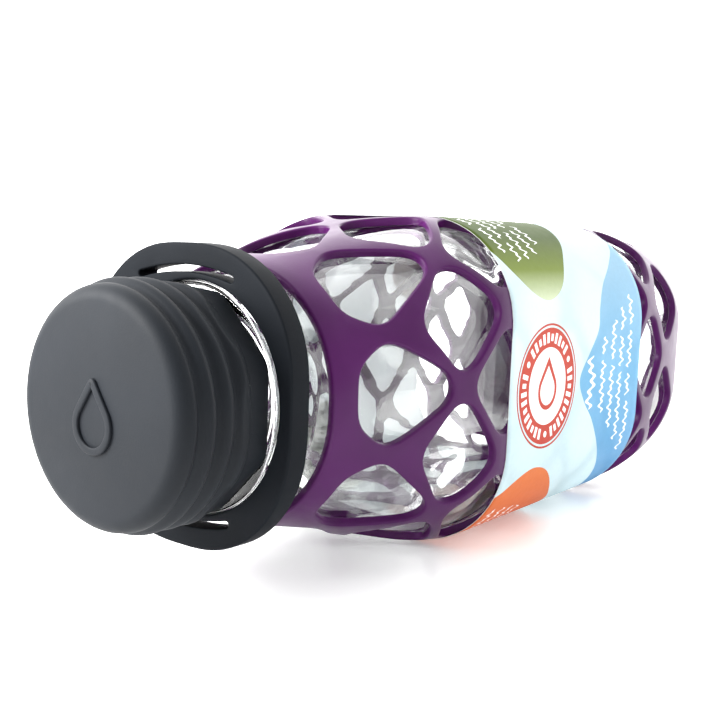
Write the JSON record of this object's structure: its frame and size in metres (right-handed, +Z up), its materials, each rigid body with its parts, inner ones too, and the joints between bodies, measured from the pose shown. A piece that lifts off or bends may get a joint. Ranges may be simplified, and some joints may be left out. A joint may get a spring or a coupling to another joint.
{
  "type": "glass water bottle",
  "caption": "Rounded-square glass water bottle in a silicone mesh sleeve, with a carry ring on the neck, a paper wrap and a ribbed push-on silicone cap.",
  "frame": {"origin": "centre of the underside of the sleeve, where the bottle stands", "axes": "+Z up along the bottle's axis to the cap; the four flats of the body face +-X and +-Y; the long sides of the carry ring's slots face +-X"},
  "size_m": [0.0766, 0.0766, 0.2057],
  "materials": {
    "clear_glass": "clear polished",
    "purple_silicone": "satin",
    "label_paper": "smooth printed paper",
    "ring_silicone": "matte",
    "cap_silicone": "matte"
  },
  "bodies": {
    "bottle": {"glass_bottle": "clear_glass", "mesh_sleeve": "purple_silicone", "paper_label": "label_paper"},
    "ring": {"carry_ring": "ring_silicone"},
    "cap": {"bottle_cap": "cap_silicone"}
  },
  "joints": [
    {"name": "cap_pull_off", "type": "slide", "parent": "bottle", "child": "cap", "axis": [0, 0, 1], "range_m": [0, 0.04]},
    {"name": "ring_spin", "type": "hinge", "parent": "bottle", "child": "ring", "pos_m": [0, 0, 0.1789], "axis": [0, 0, 1], "continuous": true}
  ]
}
